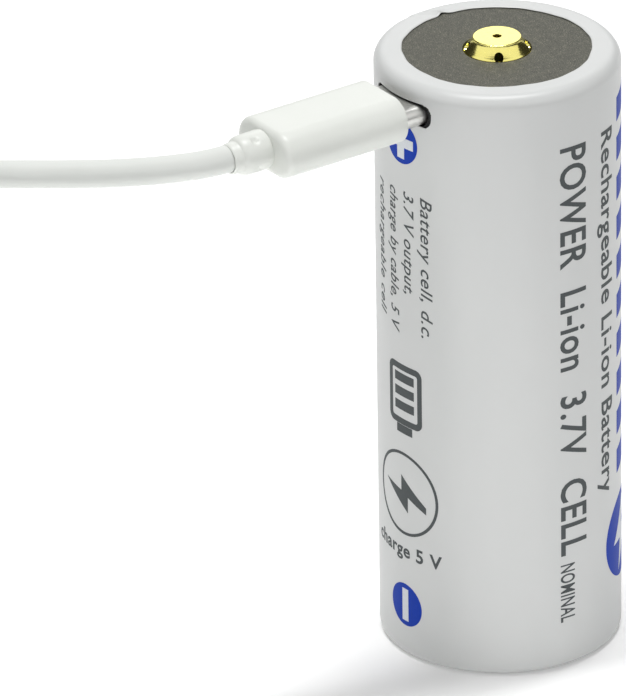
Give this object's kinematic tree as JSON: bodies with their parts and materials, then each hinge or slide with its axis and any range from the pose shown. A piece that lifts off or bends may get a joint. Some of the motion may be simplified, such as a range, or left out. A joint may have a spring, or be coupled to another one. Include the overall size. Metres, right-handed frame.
{
  "type": "rechargeable battery cell",
  "caption": "Cylindrical rechargeable battery cell with a charging port in its side and a thin charging cable plugged part-way into it.",
  "frame": {"origin": "centre of the negative end, on the surface that the cell stands on", "axes": "+Z from the negative end to the positive button; -Y out of the charging port, along its plug; +X to the right seen from the port"},
  "size_m": [0.0429, 0.1337, 0.0707],
  "materials": {
    "sleeve_film": "satin shrink film with printed marks",
    "washer_paper": "speckled hard fibre",
    "gold_plate": "gold plated, polished",
    "turned_brass": "turned",
    "nickel_strip": "rolled nickel strip",
    "nickel_steel": "nickel-plated deep-drawn steel",
    "gasket_plastic": "translucent moulded",
    "fish_paper": "pressed fibre",
    "housing_plastic": "moulded black",
    "board_laminate": "green solder mask",
    "plug_steel": "drawn steel",
    "contact_plastic": "black moulded",
    "gold_contacts": "gold flash",
    "chip_epoxy": "moulded epoxy",
    "ferrite": "sintered",
    "capacitor_ceramic": "fired",
    "resistor_ceramic": "fired, tinned ends",
    "light_lens": "clear epoxy",
    "header_aluminium": "stamped",
    "thermal_polymer": "carbon-filled polymer",
    "cathode_coating": "dark coating on foil",
    "anode_coating": "graphite coating on foil",
    "separator_film": "microporous film",
    "plug_plastic": "white moulded, satin",
    "cable_jacket": "white satin jacket",
    "wire_insulation": "red insulation"
  },
  "bodies": {
    "cell": {"wrap_sleeve": "sleeve_film", "top_washer": "washer_paper", "positive_button": "gold_plate", "contact_post": "turned_brass", "negative_plate": "nickel_steel", "negative_strip": "nickel_strip", "steel_can": "nickel_steel", "crimp_gasket": "gasket_plastic", "cell_cap": "nickel_steel", "thermal_ring": "thermal_polymer", "vent_disc": "header_aluminium", "header_insulator": "gasket_plastic", "interrupt_disc": "header_aluminium", "positive_tab": "header_aluminium", "negative_tab": "nickel_strip", "upper_insulator": "fish_paper", "lower_insulator": "fish_paper", "core_pin": "nickel_steel", "cathode_roll": "cathode_coating", "inner_separator": "separator_film", "anode_roll": "anode_coating", "outer_separator": "separator_film", "module_insulator": "fish_paper", "port_housing": "housing_plastic", "charge_board": "board_laminate", "charge_chip": "chip_epoxy", "protection_switches": "chip_epoxy", "power_inductor": "ferrite", "board_capacitors": "capacitor_ceramic", "board_resistors": "resistor_ceramic", "status_lights": "light_lens", "receptacle_shell": "plug_steel", "receptacle_tongue": "contact_plastic", "receptacle_contacts": "gold_contacts", "positive_link": "nickel_strip"},
    "charging_cable": {"plug_shell": "plug_steel", "plug_liner": "contact_plastic", "plug_contacts": "gold_contacts", "plug_card": "board_laminate", "plug_wires": "wire_insulation", "plug_grip": "plug_plastic", "plug_collar": "plug_plastic", "cable_run": "cable_jacket", "cable_coil": "cable_jacket", "cable_tail": "cable_jacket", "supply_collar": "plug_plastic", "supply_grip": "plug_plastic", "supply_shell": "plug_steel", "supply_tongue": "plug_plastic", "supply_contacts": "gold_contacts", "supply_wires": "wire_insulation"}
  },
  "joints": [
    {"name": "plug_slide", "type": "slide", "parent": "cell", "child": "charging_cable", "axis": [0, -1, 0], "range_m": [-0.0017, 0.01]}
  ]
}
